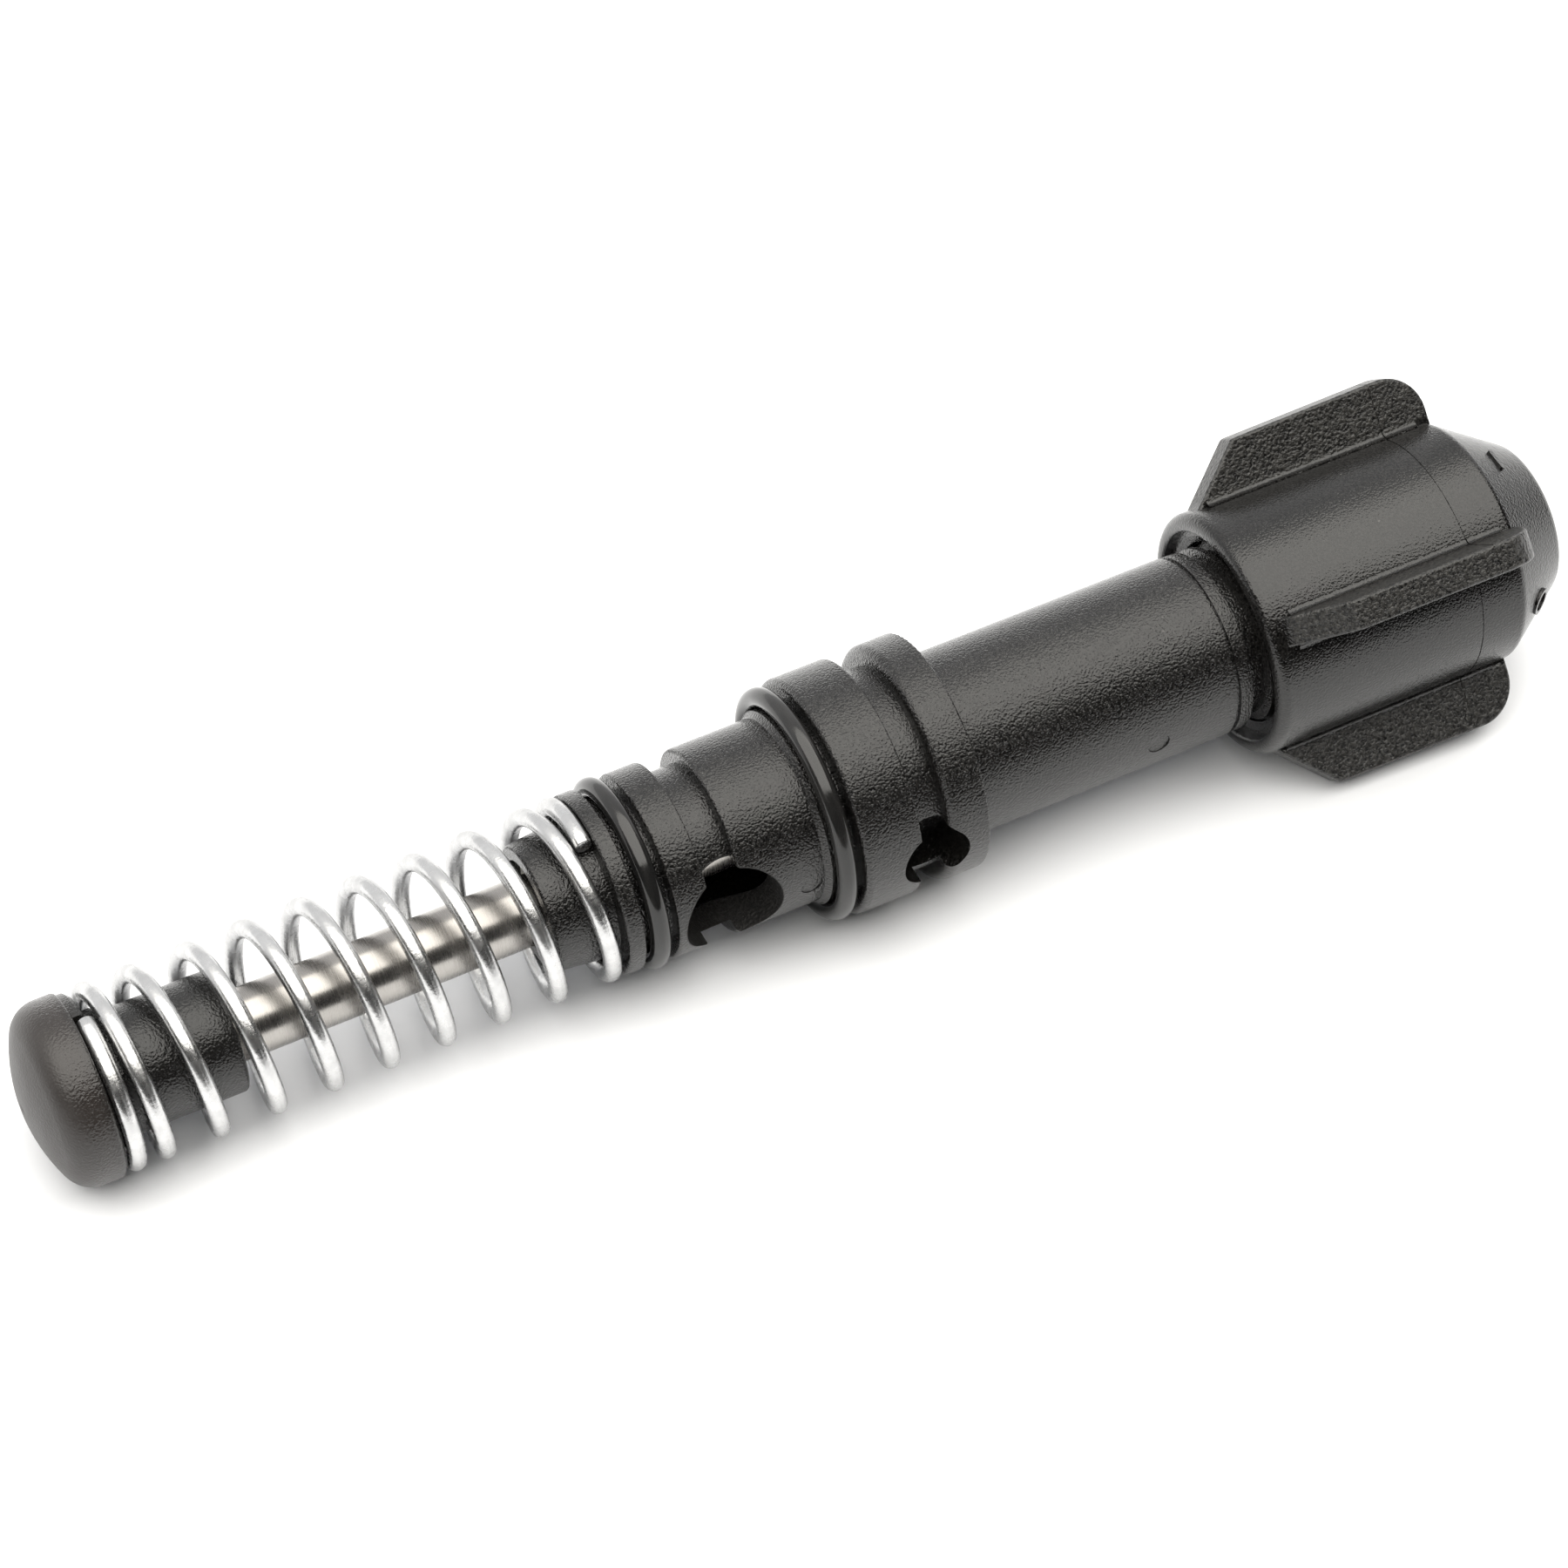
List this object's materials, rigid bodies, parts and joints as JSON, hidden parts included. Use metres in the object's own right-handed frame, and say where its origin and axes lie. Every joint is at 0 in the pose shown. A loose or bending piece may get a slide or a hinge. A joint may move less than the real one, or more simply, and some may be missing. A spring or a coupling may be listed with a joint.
{
  "type": "pop up sprinkler valve cartridge",
  "caption": "Spray valve cartridge: a sprung push button on a steel stem lifts a poppet in a ported, O-ring sealed barrel, and a finned twist nozzle on a coarse thread sets the spray.",
  "frame": {"origin": "on the cartridge's axis, in the middle of the locating collar", "axes": "+X along the axis from the push button to the spray nozzle; the inlet port and the locating hole face -Y; the nozzle's vanes stand at 45 degrees to Y and Z"},
  "size_m": [0.1433, 0.0246, 0.0246],
  "materials": {
    "button_plastic": "fine matte",
    "barrel_plastic": "fine moulded texture",
    "nozzle_plastic": "moulded texture",
    "guide_acetal": "smooth natural acetal",
    "seal_rubber": "smooth",
    "rod_steel": "ground",
    "spring_steel": "bright zinc plate",
    "hardware_steel": "stamped",
    "insert_brass": "turned"
  },
  "bodies": {
    "barrel": {"barrel": "barrel_plastic", "rear_guide_bush": "guide_acetal", "seal_washer": "hardware_steel", "rod_seal": "seal_rubber", "rear_o_ring": "seal_rubber", "collar_o_ring": "seal_rubber", "front_guide": "guide_acetal", "return_spring": "spring_steel"},
    "plunger": {"button_cap": "button_plastic", "button_insert": "insert_brass", "stem_rod": "rod_steel", "stop_clip": "hardware_steel", "valve_poppet": "guide_acetal", "poppet_o_ring": "seal_rubber", "lock_washer": "hardware_steel", "nose_nut": "insert_brass"},
    "nozzle_seal": {"nozzle_o_ring": "seal_rubber"},
    "nozzle": {"nozzle": "nozzle_plastic"}
  },
  "joints": [
    {"name": "button_slide", "type": "slide", "parent": "barrel", "child": "plunger", "axis": [1, 0, 0], "range_m": [0, 0.007], "stiffness_N_per_m": 2400, "springref_m": -0.003, "deforming": ["return_spring"]},
    {"name": "nozzle_advance", "type": "slide", "parent": "barrel", "child": "nozzle_seal", "axis": [1, 0, 0], "range_m": [-0.00201, 0.00151]},
    {"name": "nozzle_turn", "type": "hinge", "parent": "nozzle_seal", "child": "nozzle", "pos_m": [0.05, 0, 0], "axis": [1, 0, 0], "range_deg": [-360, 270]}
  ],
  "couplings": [
    {"joint": "nozzle_advance", "follows": "nozzle_turn", "m_per_rad": 0.00031831}
  ]
}
